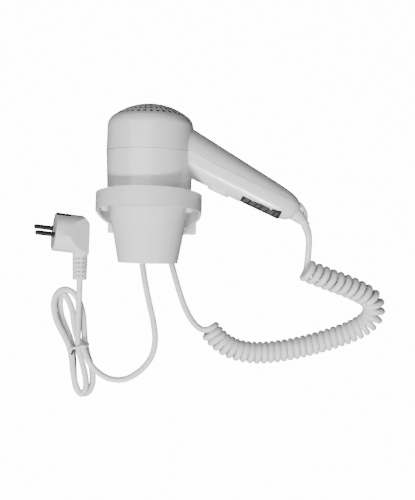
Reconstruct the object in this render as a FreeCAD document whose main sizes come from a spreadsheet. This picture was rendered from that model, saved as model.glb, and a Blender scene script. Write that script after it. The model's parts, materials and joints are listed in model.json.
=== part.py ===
"""Wall-mounted hair dryer with its ring holder, curly lead, mains lead and plug.

Millimetres. The origin is on the wall face, midway between the two wall screws.
X runs to the right along the wall, Y into the wall and Z up, so that the whole
object stands on the -Y side of the wall. The dryer's barrel is upright and its
handle points to +X.
"""
import FreeCAD, Part
import math
import os
import re

import Sketcher

os.makedirs("parts", exist_ok=True)

doc = FreeCAD.newDocument("HairDryer")
sheet = doc.addObject("Spreadsheet::Sheet", "Sizes")

SIZES = {
    # Dryer: barrel, cone and dome
    "axis_reach": 64.0,        # from the wall to the barrel's axis
    "dome_top": 102.2,         # height of the dome's apex
    "dome_radius": 58.0,       # spherical radius of the dome
    "seam_height": 57.8,       # joint between the two shells
    "seam_radius": 40.4,
    "shoulder_radius": 39.8,   # barrel radius just under the dome
    "shoulder_round": 13.0,
    "cone_top": 16.0,          # where the barrel turns into the cone
    "cone_top_radius": 38.8,
    "cone_bottom": -45.2,
    "cone_bottom_radius": 27.9,
    "shell_wall": 2.2,
    "shell_gap": 0.3,          # joint line between the two shells
    "intake_hole": 1.75,       # radius of one hole of the intake grille
    "intake_pitch": 5.47,
    # Dryer: handle, as sections square to its own axis
    "handle_angle": 27.5,      # below the horizontal
    "handle_x": 57.0,          # a point on the handle's axis
    "handle_z": 47.0,
    "handle_start": -36.0,     # first section, inside the barrel
    "handle_bend": 65.4,       # where the straight taper ends
    "handle_tip": 90.0,        # end face of the shells
    "handle_deep": 21.7,       # half depth at the first section
    "handle_wide": 19.0,       # half width there
    "bend_deep": 15.4,
    "bend_wide": 14.6,
    "crown_at": 80.6,          # the rounded end, as two sections more
    "crown_deep": 13.2,
    "crown_wide": 12.6,
    "brow_at": 87.2,
    "brow_deep": 10.4,
    "brow_wide": 9.8,
    "brow_drop": 0.8,
    "tip_deep": 7.4,
    "tip_wide": 7.0,
    "tip_drop": 1.8,           # how far the tip's centre lies under the axis
    "tip_lean": 18.0,          # its face leans down from the handle's axis
    # Switches, in the frame of the handle's underside
    "sole_angle": 24.0,
    "sole_x": 84.4,
    "sole_z": 13.7,
    "bezel_length": 38.6,
    "bezel_width": 22.4,
    "bezel_depth": 9.0,
    "bezel_sink": 0.7,         # below the handle's silhouette
    "rocker_length": 14.4,
    "rocker_width": 14.4,
    "rocker_depth": 6.0,
    "rocker_play": 0.9,
    "rocker_pin": 1.0,
    "button_length": 21.0,
    "button_width": 13.0,
    "button_rise": 1.6,
    "button_play": 0.3,
    "button_travel": 2.0,
    # Cord guard and hanging loop
    "guard_at": 103.6,         # its end, in the handle's frame
    "guard_drop": 5.8,
    "guard_lean": 40.0,
    "guard_end": 3.8,
    "loop_ring": 17.0,
    "loop_wire": 1.1,
    # Fan, motor and heater
    "duct_radius": 35.0,
    "duct_wall": 2.0,
    "duct_base": 46.0,
    "duct_top": 80.0,
    "motor_radius": 13.8,
    "motor_base": 36.0,
    "motor_length": 30.0,
    "motor_wall": 1.0,
    "shaft_radius": 1.0,
    "shaft_play": 0.04,
    "fan_radius": 32.2,
    "fan_base": 68.0,
    "fan_deep": 9.0,
    "fan_hub": 11.0,
    "fan_blades": 9,
    "sleeve_radius": 24.2,
    "sleeve_wall": 0.8,
    "sleeve_base": -41.0,
    "sleeve_top": 31.0,
    "mica_thick": 1.0,
    "mica_reach": 18.8,
    "coil_radius": 20.1,
    "coil_wire": 1.0,
    "outlet_radius": 25.4,
    "outlet_thick": 2.0,
    # Holder
    "ring_radius": 49.4,
    "ring_wall": 2.8,
    "ring_tall": 16.6,
    "ring_top": 17.9,          # height of its top plane at the barrel's axis
    "ring_tilt": 7.3,          # front edge up
    "base_width": 87.0,
    "base_deep": 22.0,
    "base_top": 15.5,
    "base_bottom": -18.7,
    "base_wall": 2.4,
    "base_round": 2.0,
    "plate_thick": 3.0,
    "plate_play": 0.25,
    "mount_span": 54.0,        # between the two wall screws
    "mount_hole": 2.25,        # their radius
    "seat_play": 0.35,         # between the cradle and the barrel
    "seat_wall": 2.0,
    "seat_base": 7.0,
    "lug_reach": 43.3,         # from the axis to a cradle lug
    "lug_spread": 62.0,        # either side of straight ahead, in degrees
    "lug_radius": 3.4,
    "lug_tall": 5.0,
    "cradle_screw": 1.3,
    # Cords, grommets and plug
    "cord_radius": 3.1,
    "coil_outer": 11.3,        # outer radius of the curly stretch
    "exit_depth": 12.0,        # of both cords from the wall
    "mains_exit": -11.6,
    "lead_exit": 14.4,
    "grommet_radius": 5.0,
    "grommet_drop": 2.2,
    "plug_radius": 19.0,
    "plug_end": 7.0,           # half width of its far end, between the two flats
    "plug_deep": 13.2,         # from its face to where the flats start
    "plug_x": -96.4,           # centre of the plug's face
    "plug_y": -20.0,
    "plug_z": -18.3,
    "plug_tilt": 6.0,
    "plug_yaw": 18.0,          # of the whole plug about its cord guard
    "plug_roll": 18.0,
    "pin_radius": 2.4,
    "pin_length": 19.0,
    "pin_span": 19.0,
    "stem_x": -70.3,           # axis of the plug's cord guard
    "stem_top": -43.0,
    "stem_bottom": -65.4,
    "stem_radius": 7.5,
    "stem_end": 6.9,
    "hank_front": 18.5,
    "hank_back": 3.5,
}
for row, (alias, amount) in enumerate(SIZES.items(), start=1):
    sheet.set("A%d" % row, alias.replace("_", " "))
    sheet.set("B%d" % row, str(amount))
    sheet.setAlias("B%d" % row, alias)
doc.recompute()


# ---------------------------------------------------------------- helpers

def full(text):
    """An expression over the sheet's names, with each name in full."""
    def name(word):
        return "Sizes." + word.group() if word.group() in SIZES else word.group()
    return re.sub(r"[a-z][a-z_]*", name, str(text))


def value(text):
    """What an expression over the sheet's names comes to."""
    result = sheet.evalExpression(full(text))
    return float(getattr(result, "Value", result))


# A frame is the angle that it is turned down by about Y, and its origin.
ROOM = (0.0, ("0", "0", "0"))
AXIS = (0.0, ("0", "-axis_reach", "0"))
HANDLE = (value("handle_angle"), ("handle_x", "-axis_reach", "handle_z"))
SOLE = (value("sole_angle"), ("sole_x", "-axis_reach", "sole_z"))

ALONG_X = FreeCAD.Rotation(FreeCAD.Vector(0, 1, 0), 90)
ALONG_Y = FreeCAD.Rotation(FreeCAD.Vector(1, 0, 0), -90)
UPRIGHT = FreeCAD.Rotation()
RING_TILT = FreeCAD.Rotation(FreeCAD.Vector(1, 0, 0), -value("ring_tilt"))


def put(item, at, frame=ROOM, turn=UPRIGHT):
    """Place an object at (along, across, up) of a frame, bound to the sheet."""
    angle, (x, y, z) = frame
    along, across, up = at
    tilt = FreeCAD.Rotation(FreeCAD.Vector(0, 1, 0), angle)
    item.Placement = FreeCAD.Placement(FreeCAD.Vector(), tilt.multiply(turn))
    spots = {
        "x": "%s + (%s) * cos(%g) + (%s) * sin(%g)" % (x, along, angle, up, angle),
        "y": "%s + (%s)" % (y, across),
        "z": "%s - (%s) * sin(%g) + (%s) * cos(%g)" % (z, along, angle, up, angle),
    }
    for letter, text in spots.items():
        item.setExpression(".Placement.Base." + letter, full(text))
    return item


def bind(item, **sizes):
    for name, text in sizes.items():
        item.setExpression(name, full(text))
    return item


def cylinder(name, radius, tall, at, frame=ROOM, turn=UPRIGHT):
    item = bind(doc.addObject("Part::Cylinder", name), Radius=radius, Height=tall)
    return put(item, at, frame, turn)


def cone(name, low, high, tall, at, frame=ROOM, turn=UPRIGHT):
    item = bind(doc.addObject("Part::Cone", name), Radius1=low, Radius2=high, Height=tall)
    return put(item, at, frame, turn)


def box(name, sizes, at, frame=ROOM, turn=UPRIGHT):
    """A box centred on its point along and across, and standing on it."""
    long, wide, tall = sizes
    item = bind(doc.addObject("Part::Box", name), Length=long, Width=wide, Height=tall)
    along, across, up = at
    if turn is UPRIGHT:
        at = ("(%s) - (%s) / 2" % (along, long), "(%s) - (%s) / 2" % (across, wide), up)
    return put(item, at, frame, turn)


def cut(name, base, tools):
    if len(tools) > 1:
        tools = [fuse(name + "_tools", tools)]
    item = doc.addObject("Part::Cut", name)
    item.Base, item.Tool = base, tools[0]
    return item


def fuse(name, shapes):
    item = doc.addObject("Part::MultiFuse", name)
    item.Shapes = shapes
    item.Refine = True
    return item


def common(name, base, tool):
    item = doc.addObject("Part::Common", name)
    item.Base, item.Tool = base, tool
    return item


def group(name, shapes):
    item = doc.addObject("Part::Compound", name)
    item.Links = shapes
    return item


def outline(name, points, arcs=None):
    """A closed sketch on the XZ plane. Each point is a pair of expressions, or a
    number where the arcs settle it. arcs gives the centre of each segment that is
    an arc, which runs anticlockwise."""
    arcs = arcs or {}
    sketch = doc.addObject("Sketcher::SketchObject", name)
    flat = [tuple(p if isinstance(p, float) else value(p) for p in pair) for pair in points]
    for i, (a, b) in enumerate(zip(flat, flat[1:] + flat[:1])):
        start, end = FreeCAD.Vector(a[0], a[1], 0), FreeCAD.Vector(b[0], b[1], 0)
        if i in arcs:
            centre = FreeCAD.Vector(value(arcs[i][0]), value(arcs[i][1]), 0)
            circle = Part.Circle(centre, FreeCAD.Vector(0, 0, 1), (start - centre).Length)
            angles = [math.atan2(p.y - centre.y, p.x - centre.x) for p in (start, end)]
            sketch.addGeometry(Part.ArcOfCircle(circle, *angles), False)
        else:
            sketch.addGeometry(Part.LineSegment(start, end), False)
    for i in range(len(flat)):
        j = (i + 1) % len(flat)
        sketch.addConstraint(Sketcher.Constraint("Coincident", i, 2, j, 1))
    pins = [(i, 1, pair) for i, pair in enumerate(points)]
    pins += [(i, 3, centre) for i, centre in arcs.items()]
    for i, corner, pair in pins:
        for kind, text in zip(("DistanceX", "DistanceY"), pair):
            if isinstance(text, float):
                continue
            rule = Sketcher.Constraint(kind, -1, 1, i, corner, value(text))
            index = sketch.addConstraint(rule)
            if value(text) != 0:
                sketch.setExpression("Constraints[%d]" % index, full(text))
    sketch.Placement = FreeCAD.Placement(FreeCAD.Vector(),
                                         FreeCAD.Rotation(FreeCAD.Vector(1, 0, 0), 90))
    return sketch


def turned(name, points, arcs=None, frame=AXIS):
    """A solid of revolution about the frame's Z, from an outline of (radius, height)."""
    item = doc.addObject("Part::Revolution", name)
    item.Source = outline(name + "_outline", points, arcs)
    item.Axis = FreeCAD.Vector(0, 0, 1)
    item.Solid = True
    return put(item, ("0", "0", "0"), frame)


def plate(name, points, thick, across="0", frame=ROOM, arcs=None):
    """An outline in the frame's XZ plane, thickened evenly to both sides of it."""
    item = doc.addObject("Part::Extrusion", name)
    item.Base = outline(name + "_outline", points, arcs)
    item.Dir = FreeCAD.Vector(0, -1, 0)
    item.Symmetric = True
    item.Solid = True
    bind(item, LengthFwd=thick)
    return put(item, ("0", across, "0"), frame)


def oval(name, deep, wide, at, frame=HANDLE, lean=0.0):
    """An ellipse square to the frame's X, leaning by some degrees about Y."""
    item = bind(doc.addObject("Part::Ellipse", name), MajorRadius=deep, MinorRadius=wide)
    turn = FreeCAD.Rotation(FreeCAD.Vector(0, 1, 0), 90 + lean)
    return put(item, at, frame, turn)


def loft(name, sections, ruled=False):
    item = doc.addObject("Part::Loft", name)
    item.Sections = sections
    item.Solid = True
    item.Ruled = ruled
    return item


def rounded(name, base, radius, test):
    """Round the edges of base for which test(edge) is true."""
    doc.recompute()
    item = doc.addObject("Part::Fillet", name)
    item.Base = base
    size = value(radius)
    item.Edges = [(i, size, size) for i, edge in enumerate(base.Shape.Edges, start=1)
                  if test(edge)]
    return item


def copy(name, source):
    """The same solid again, so that two pieces can use it."""
    item = doc.addObject("Part::Compound", name)
    item.Links = [source]
    return item


# ---------------------------------------------------------------- cords

def rounded_path(name, points):
    """Straight runs joined by tangent arcs, as a wire. Prints the arcs' radii."""
    spots = [FreeCAD.Vector(*p) for p in points]
    edges, radii, start = [], [], spots[0]
    for before, corner, after in zip(spots, spots[1:], spots[2:]):
        back, ahead = before - corner, after - corner
        reach = 0.45 * min(back.Length, ahead.Length)
        back.normalize()
        ahead.normalize()
        half = (math.pi - back.getAngle(ahead)) / 2
        radius = reach / math.tan(half)
        middle = back + ahead
        middle.normalize()
        enter, leave = corner + back * reach, corner + ahead * reach
        belly = corner + middle * (radius / math.cos(half) - radius)
        edges.append(Part.LineSegment(start, enter).toShape())
        edges.append(Part.Arc(enter, belly, leave).toShape())
        radii.append(round(radius))
        start = leave
    edges.append(Part.LineSegment(start, spots[-1]).toShape())
    print(name, "radii", radii)
    return Part.Wire(edges)


def cord(name, points, radius="cord_radius"):
    """A round tube along a route."""
    spine = doc.addObject("Part::Feature", name + "_route")
    spine.Shape = rounded_path(name, points)
    ring = bind(doc.addObject("Part::Circle", name + "_ring"), Radius=radius)
    heading = FreeCAD.Vector(*points[1]) - FreeCAD.Vector(*points[0])
    ring.Placement = FreeCAD.Placement(FreeCAD.Vector(*points[0]),
                                       FreeCAD.Rotation(FreeCAD.Vector(0, 0, 1), heading))
    item = doc.addObject("Part::Sweep", name)
    item.Sections = [ring]
    item.Spine = (spine, ["Edge%d" % (i + 1) for i in range(len(spine.Shape.Edges))])
    item.Solid = True
    item.Frenet = False
    doc.recompute()
    meant = math.pi * value(radius) ** 2 * spine.Shape.Length
    print(name, "length %.1f, volume against section by length %.4f"
          % (spine.Shape.Length, item.Shape.Volume / meant))
    return item


# ---------------------------------------------------------------- dryer shells

def barrel(name, inset, bottom):
    """The barrel, cone and dome as a solid, its surface moved in by inset."""
    centre = ("0", "dome_top - dome_radius")
    reach = value("dome_radius - (%s)" % inset)
    side = value("shoulder_radius - (%s)" % inset)
    corner = value(centre[1]) + math.sqrt(reach ** 2 - side ** 2)
    points = bottom + [
        ("cone_top_radius - (%s)" % inset, "cone_top"),
        ("seam_radius - (%s)" % inset, "seam_height"),
        ("shoulder_radius - (%s)" % inset, corner),
        ("0", "dome_top - (%s)" % inset),
    ]
    body = turned(name + "_turned", points, {len(points) - 2: centre})

    def shoulder(edge):
        return edge.BoundBox.ZLength < 0.01 and abs(edge.BoundBox.ZMax - corner) < 0.1
    return rounded(name, body, "shoulder_round - (%s)" % inset, shoulder)


def handle(name, inset):
    """The handle: a straight taper, then a rounded end that turns down."""
    def section(part, at, deep, wide, drop="0", lean=0.0):
        return oval("%s_%s" % (name, part), "%s - (%s)" % (deep, inset),
                    "%s - (%s)" % (wide, inset), (at, "0", "-(%s)" % drop), HANDLE, lean)
    start = section("start", "handle_start", "handle_deep", "handle_wide")
    bend = section("bend", "handle_bend", "bend_deep", "bend_wide")
    crown = section("crown", "crown_at", "crown_deep", "crown_wide", "0", 4.0)
    brow = section("brow", "brow_at", "brow_deep", "brow_wide", "brow_drop", 10.0)
    tip = section("tip", "handle_tip", "tip_deep", "tip_wide", "tip_drop",
                  value("tip_lean"))
    return [loft(name + "_grip", [start, bend], True),
            loft(name + "_end", [bend, crown, brow, tip])]


def under_seam(name, lift):
    """Everything under the joint between the two shells, raised by lift."""
    points = [("-70", "-80"), ("210", "-80"), ("210", "-18 + (%s)" % lift),
              ("60", "46.7 + (%s)" % lift), ("41", "seam_height + (%s)" % lift),
              ("-70", "seam_height + (%s)" % lift)]
    return plate(name, points, "130", "-axis_reach")


outer_barrel = barrel("outer_barrel", "0", [("0", "cone_bottom"),
                                            ("cone_bottom_radius", "cone_bottom")])
inner_barrel = barrel("inner_barrel", "shell_wall", [
    ("0", "cone_bottom - 5"),
    ("outlet_radius - 1.5", "cone_bottom - 5"),
    ("outlet_radius - 1.5", "cone_bottom + 1.5"),
    ("cone_bottom_radius - shell_wall", "cone_bottom + 1.5")])
outer_skin = fuse("outer_skin", [outer_barrel] + handle("outer_handle", "0"))
inner_skin = fuse("inner_skin", [inner_barrel] + handle("inner_handle", "shell_wall"))
hollow = cut("hollow_shell", outer_skin, [inner_skin])

# Screw columns, posts and the ledge under the fan's duct, trimmed to the skin
SCREWS = [("-7.2", "26", "3.2", "0"), ("bezel_length + 3.8", "13", "2.6", "3")]
columns = [cylinder("column_%d" % i, radius, "34", (along, "0", "1"), SOLE)
           for i, (along, depth, radius, lift) in enumerate(SCREWS)]
columns += [cylinder("switch_post_%d" % i, "1.5", "20", (along, "0", "22"), SOLE)
            for i, along in enumerate(("-28", "-16"))]
columns += [cylinder("clamp_post_%d" % i, "1.8", "20", ("72", across, "7.7"), HANDLE)
            for i, across in enumerate(("-5.2", "5.2"))]
columns = common("trimmed_columns", fuse("columns", columns), outer_skin)
ledge = cut("ledge", cylinder("ledge_outer", "38.4", "2.2", ("0", "0", "duct_base - 2.2"), AXIS),
            [cylinder("ledge_inner", "duct_radius - duct_wall", "4",
                      ("0", "0", "duct_base - 3"), AXIS)])
shell = fuse("whole_shell", [hollow, columns, ledge])

screw_holes = []
for i, (along, depth, radius, lift) in enumerate(SCREWS):
    screw_holes.append(cylinder("screw_hole_%d" % i, "1.25", "%s + %s" % (depth, lift),
                                (along, "0", "-4"), SOLE))
    screw_holes.append(cylinder("screw_sink_%d" % i, "2.1", "12 + %s" % lift,
                                (along, "0", "-8.8"), SOLE))
for i, across in enumerate(("-5.2", "5.2")):
    screw_holes.append(cylinder("post_hole_%d" % i, "0.85", "4.5", ("72", across, "7"), HANDLE))
bezel_window = box("bezel_window", ("bezel_length + 0.6", "bezel_width + 0.6", "14"),
                   ("bezel_length / 2 + 0.3", "0", "bezel_sink + bezel_depth - 13.7"), SOLE)


def stadium(name, long, wide, tall, at, frame=SOLE):
    """An oval block with round ends."""
    along, across, up = at
    half = "((%s) - (%s)) / 2" % (long, wide)
    parts = [box(name + "_middle", ("(%s) - (%s)" % (long, wide), wide, tall), at, frame)]
    for end, sign in (("_near", "-"), ("_far", "+")):
        spot = ("(%s) %s %s" % (along, sign, half), across, up)
        parts.append(cylinder(name + end, "(%s) / 2" % wide, tall, spot, frame))
    return fuse(name, parts)


button_window = stadium("button_window", "button_length + 2 * button_play",
                        "button_width + 2 * button_play", "12", ("-22", "0", "-6"))
openings = [bezel_window, button_window] + screw_holes
bored = cut("bored_shell", shell, openings)

front_shell = common("front_shell", bored, under_seam("low_side", "0"))


HOLES_IN_RING = (1, 6, 12, 24, 24, 36, 36)


def intake_holes():
    """Round holes in rings over the dome, bored straight down and in line outwards."""
    holes = []
    for ring, count in enumerate(HOLES_IN_RING):
        for step in range(count):
            angle = 360.0 * (step + 0.5) / count
            spot = ("%d * intake_pitch * cos(%g)" % (ring, angle),
                    "%d * intake_pitch * sin(%g)" % (ring, angle), "dome_top - 16")
            holes.append(cylinder("intake_%d_%d" % (ring, step), "intake_hole", "20",
                                  spot, AXIS))
    return group("intake_holes", holes)


rear_shell = cut("rear_shell", bored, [under_seam("high_side", "shell_gap"), intake_holes()])

# ---------------------------------------------------------------- fan and motor

duct_parts = [
    cut("duct", cylinder("duct_outer", "duct_radius", "duct_top - duct_base",
                         ("0", "0", "duct_base"), AXIS),
        [cylinder("duct_bore", "duct_radius - duct_wall", "60", ("0", "0", "duct_base - 5"),
                  AXIS)]),
    cylinder("hub_outer", "motor_radius + 2", "23.2", ("0", "0", "duct_base - 2"), AXIS)]
for i in range(8):
    vane = box("vane_%d" % i, ("duct_radius - motor_radius - 2", "1.4", "13"),
               ("0", "0", "duct_base + 3"), AXIS)
    turn = FreeCAD.Rotation(FreeCAD.Vector(0, 0, 1), 45 * i)
    turn = turn.multiply(FreeCAD.Rotation(FreeCAD.Vector(1, 0, 0), 16))
    put(vane, ("(motor_radius + 1.3) * cos(%g)" % (45 * i),
               "(motor_radius + 1.3) * sin(%g)" % (45 * i), "duct_base + 3"), AXIS, turn)
    duct_parts.append(vane)
fan_housing = cut("fan_housing", fuse("duct_and_hub", duct_parts), [
    cylinder("motor_seat", "motor_radius + 0.05", "motor_base + motor_length - duct_base + 3",
             ("0", "0", "duct_base - 3"), AXIS),
    cylinder("hub_eye", "3", "10", ("0", "0", "duct_base + 15"), AXIS)])

motor_can = cut("motor_can", cylinder("can_outer", "motor_radius", "motor_length",
                                      ("0", "0", "motor_base"), AXIS), [
    cylinder("can_bore", "motor_radius - motor_wall", "motor_length - motor_wall",
             ("0", "0", "motor_base"), AXIS),
    cylinder("can_eye", "2.2", "motor_length + 2", ("0", "0", "motor_base"), AXIS)])
motor_end_cap = cut("motor_end_cap", cylinder("cap_disc", "motor_radius", "3",
                                              ("0", "0", "motor_base - 3"), AXIS),
                    [cylinder("cap_eye", "2.2", "5", ("0", "0", "motor_base - 4"), AXIS)])


def bush(name, base):
    return cut(name, cylinder(name + "_outer", "2.15", "3", ("0", "0", base), AXIS),
               [cylinder(name + "_bore", "shaft_radius + shaft_play", "5",
                         ("0", "0", "(%s) - 1" % base), AXIS)])


motor_bushes = group("motor_bushes", [bush("low_bush", "motor_base - 3.2"),
                                      bush("high_bush", "motor_base + motor_length - 2")])
rotor_shaft = cylinder("rotor_shaft", "shaft_radius", "46", ("0", "0", "motor_base - 4"), AXIS)
armature = cut("armature", fuse("armature_solid", [
    cylinder("windings", "9.5", "18", ("0", "0", "motor_base + 6"), AXIS),
    cylinder("commutator", "3.6", "5", ("0", "0", "motor_base + 1"), AXIS)]),
    [cylinder("armature_bore", "shaft_radius + shaft_play", "30",
              ("0", "0", "motor_base"), AXIS)])

fan_parts = [cylinder("fan_hub_disc", "fan_hub", "fan_deep", ("0", "0", "fan_base"), AXIS)]
blades = int(value("fan_blades"))
for i in range(blades):
    angle = 360.0 * i / blades
    blade = box("blade_%d" % i, ("fan_radius - 0.4 - fan_hub + 1", "12", "1.2"),
                ("0", "0", "0"), AXIS)
    turn = FreeCAD.Rotation(FreeCAD.Vector(0, 0, 1), angle)
    turn = turn.multiply(FreeCAD.Rotation(FreeCAD.Vector(1, 0, 0), 38))
    reach, side = "(fan_hub - 1)", "(6 * cos(38))"
    put(blade, ("%s * cos(%g) + %s * sin(%g)" % (reach, angle, side, angle),
                "%s * sin(%g) - %s * cos(%g)" % (reach, angle, side, angle),
                "fan_base + 0.4"), AXIS, turn)
    fan_parts.append(blade)
fan = cut("fan", fuse("fan_solid", fan_parts),
          [cylinder("fan_bore", "shaft_radius + shaft_play", "14",
                    ("0", "0", "fan_base - 2"), AXIS)])

screen_parts = [box("screen_bar_%d" % i, ("2 * duct_radius", "1", "0.6"),
                    ("0", "0", "duct_top"), AXIS) for i in range(3)]
for i, bar in enumerate(screen_parts):
    turn = FreeCAD.Rotation(FreeCAD.Vector(0, 0, 1), 60 * i)
    put(bar, ("-duct_radius * cos(%g) + 0.5 * sin(%g)" % (60 * i, 60 * i),
              "-duct_radius * sin(%g) - 0.5 * cos(%g)" % (60 * i, 60 * i), "duct_top"),
        AXIS, turn)
for i, reach in enumerate(("8", "17", "26", "duct_radius + 0.8")):
    screen_parts.append(cut("screen_ring_%d" % i,
                            cylinder("screen_rim_%d" % i, reach, "0.6",
                                     ("0", "0", "duct_top"), AXIS),
                            [cylinder("screen_gap_%d" % i, "(%s) - 1.6" % reach, "2",
                                      ("0", "0", "duct_top - 1"), AXIS)]))
inlet_screen = fuse("inlet_screen", screen_parts)

# ---------------------------------------------------------------- heater

grille_top = "cone_bottom + 1.5 + outlet_thick"
outlet_parts = [box("outlet_bar_%d" % i, ("2 * outlet_radius - 1", "1.2", "outlet_thick"),
                    ("0", "0", "cone_bottom + 1.5"), AXIS) for i in range(4)]
for i, bar in enumerate(outlet_parts):
    turn = FreeCAD.Rotation(FreeCAD.Vector(0, 0, 1), 45 * i)
    reach = "(outlet_radius - 0.5)"
    put(bar, ("-%s * cos(%g) + 0.6 * sin(%g)" % (reach, 45 * i, 45 * i),
              "-%s * sin(%g) - 0.6 * cos(%g)" % (reach, 45 * i, 45 * i),
              "cone_bottom + 1.5"), AXIS, turn)
for i, reach in enumerate(("4", "9.2", "14.4", "19.6")):
    outlet_parts.append(cut("outlet_ring_%d" % i,
                            cylinder("outlet_rim_%d" % i, reach, "outlet_thick",
                                     ("0", "0", "cone_bottom + 1.5"), AXIS),
                            [cylinder("outlet_gap_%d" % i, "(%s) - 1.2" % reach, "8",
                                      ("0", "0", "cone_bottom"), AXIS)]))
outlet_parts.append(cut("outlet_collar",
                        cylinder("collar_outer", "outlet_radius", "7",
                                 ("0", "0", "cone_bottom + 1.5"), AXIS),
                        [cylinder("collar_bore", "sleeve_radius + 0.1", "12",
                                  ("0", "0", grille_top), AXIS),
                         cylinder("collar_throat", "sleeve_radius - 1", "12",
                                  ("0", "0", "cone_bottom - 2"), AXIS)]))
outlet_grille = fuse("outlet_grille", outlet_parts)

heater_sleeve = cut("heater_sleeve",
                    cylinder("sleeve_outer", "sleeve_radius", "sleeve_top - (%s)" % grille_top,
                             ("0", "0", grille_top), AXIS),
                    [cylinder("sleeve_bore", "sleeve_radius - sleeve_wall", "120",
                              ("0", "0", "cone_bottom"), AXIS)])
mica = []
for i in range(2):
    for part, reach, low, high in (
            ("web", "mica_reach", grille_top + " + 0.3", "sleeve_top - 1"),
            ("head", "sleeve_radius - sleeve_wall - 0.1", "sleeve_top - 7", "sleeve_top - 1"),
            ("foot", "sleeve_radius - sleeve_wall - 0.1", grille_top + " + 0.3",
             grille_top + " + 6")):
        sizes = ["2 * (%s)" % reach, "mica_thick"]
        if i:
            sizes.reverse()
        mica.append(box("mica_%s_%d" % (part, i), (*sizes, "(%s) - (%s)" % (high, low)),
                        ("0", "0", low), AXIS))
heater_frame = fuse("heater_frame", mica)

coils = []
for i in range(6):
    coil = bind(doc.addObject("Part::Torus", "heater_coil_%d" % i),
                Radius1="coil_radius", Radius2="coil_wire")
    coils.append(put(coil, ("0", "0", "cone_bottom + 15 + %d" % (9 * i)), AXIS))
heater_coils = group("heater_coils", coils)

thermostat = box("thermostat", ("5", "10", "8"), ("mica_thick / 2 + 2.8", "6.2",
                                                  "sleeve_top - 17"), AXIS)
thermal_fuse = cylinder("thermal_fuse", "1.6", "9", ("-mica_thick / 2 - 1.9",
                                                     "mica_thick / 2 + 1.9",
                                                     "sleeve_top - 18"), AXIS)
board = "motor_base - 5.6"
rectifier_parts = [cylinder("rectifier_board", "10", "1", ("0", "0", board), AXIS)]
for i, (x, y) in enumerate(((-2.5, 5), (-2.5, -5), (-2.5, 7.4), (-2.5, -7.4))):
    rectifier_parts.append(cylinder("diode_%d" % i, "0.75", "5",
                                    (str(x), str(y), board + " + 1.7"), AXIS, ALONG_X))
rectifier = fuse("rectifier", rectifier_parts)

# ---------------------------------------------------------------- switches

bay = "(rocker_length + 2 * rocker_play)"
bar = "((bezel_length - 2 * %s) / 3)" % bay
ROCKERS = {"speed_rocker": "0.3 + %s + %s / 2" % (bar, bay),
           "heat_rocker": "0.3 + 2 * %s + 1.5 * %s" % (bar, bay)}
PIVOT = "bezel_sink + 4.6"


def pin_bore(name, at, radius):
    return cylinder(name, radius, "bezel_width + 4",
                    (at, "-bezel_width / 2 - 2", PIVOT), SOLE, ALONG_Y)


bezel_cuts = []
for name, at in ROCKERS.items():
    bezel_cuts.append(box(name + "_bay", (bay, "rocker_width + 0.7", "20"),
                          (at, "0", "-5"), SOLE))
    bezel_cuts.append(pin_bore(name + "_hole", at, "rocker_pin + 0.04"))
switch_bezel = cut("switch_bezel", box("bezel_block", ("bezel_length", "bezel_width",
                                                       "bezel_depth"),
                                       ("bezel_length / 2 + 0.3", "0", "bezel_sink"), SOLE),
                   bezel_cuts)


def rocker(name, at):
    """A rocker with a hollowed face, bored for its pin."""
    half = "rocker_length / 2"
    face = "bezel_sink + 0.2"
    points = [("(%s) - %s" % (at, half), face), ("(%s)" % at, "(%s) + 1" % face),
              ("(%s) + %s" % (at, half), face),
              ("(%s) + %s" % (at, half), "(%s) + rocker_depth" % face),
              ("(%s) - %s" % (at, half), "(%s) + rocker_depth" % face)]
    block = plate(name + "_block", points, "rocker_width", "0", SOLE)
    return cut(name, block, [pin_bore(name + "_bore", at, "rocker_pin + 0.05")])


speed_rocker = rocker("speed_rocker", ROCKERS["speed_rocker"])
heat_rocker = rocker("heat_rocker", ROCKERS["heat_rocker"])
rocker_pins = group("rocker_pins", [
    cylinder(name + "_pin", "rocker_pin", "bezel_width - 0.4",
             (at, "-bezel_width / 2 + 0.2", PIVOT), SOLE, ALONG_Y)
    for name, at in ROCKERS.items()])

button_cap = stadium("button_cap", "button_length", "button_width",
                     "button_rise + 5", ("-22", "0", "-button_rise"))
button_flange = stadium("button_flange", "button_length + 1.4", "button_width + 1.4", "1.3",
                        ("-22", "0", "4.7"))
power_button = fuse("power_button", [button_cap, button_flange])
microswitch_plunger = cylinder("microswitch_plunger", "1.2", "7.2", ("-22", "0", "6"), SOLE)
microswitch = cut("microswitch", box("microswitch_case", ("19.8", "6.4", "10"),
                                     ("-22", "0", "12"), SOLE),
                  [cylinder("plunger_bore", "1.28", "8", ("-22", "0", "9"), SOLE)])

screws = []
for i, (along, depth, radius, lift) in enumerate(SCREWS):
    screws.append(fuse("shell_screw_%d" % i, [
        cylinder("shell_screw_head_%d" % i, "2", "1.6", (along, "0", "1.6 + %s" % lift), SOLE),
        cylinder("shell_screw_shank_%d" % i, "1.2", "%s - 9" % depth,
                 (along, "0", "3 + %s" % lift), SOLE)]))
shell_screws = group("shell_screws", screws)

handle_cord_clamp = cut("handle_cord_clamp",
                        box("clamp_bar", ("8", "15", "3"), ("72", "0", "4.7"), HANDLE),
                        [cylinder("clamp_bar_hole_%d" % i, "0.85", "6", ("72", across, "3"),
                                  HANDLE) for i, across in enumerate(("-5.2", "5.2"))])
handle_clamp_screws = group("handle_clamp_screws", [
    fuse("handle_clamp_screw_%d" % i, [
        cylinder("handle_clamp_head_%d" % i, "1.6", "1.2", ("72", across, "3.5"), HANDLE),
        cylinder("handle_clamp_shank_%d" % i, "0.8", "6.5", ("72", across, "4.5"), HANDLE)])
    for i, across in enumerate(("-5.2", "5.2"))])

# ---------------------------------------------------------------- cord guard and loop

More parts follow.
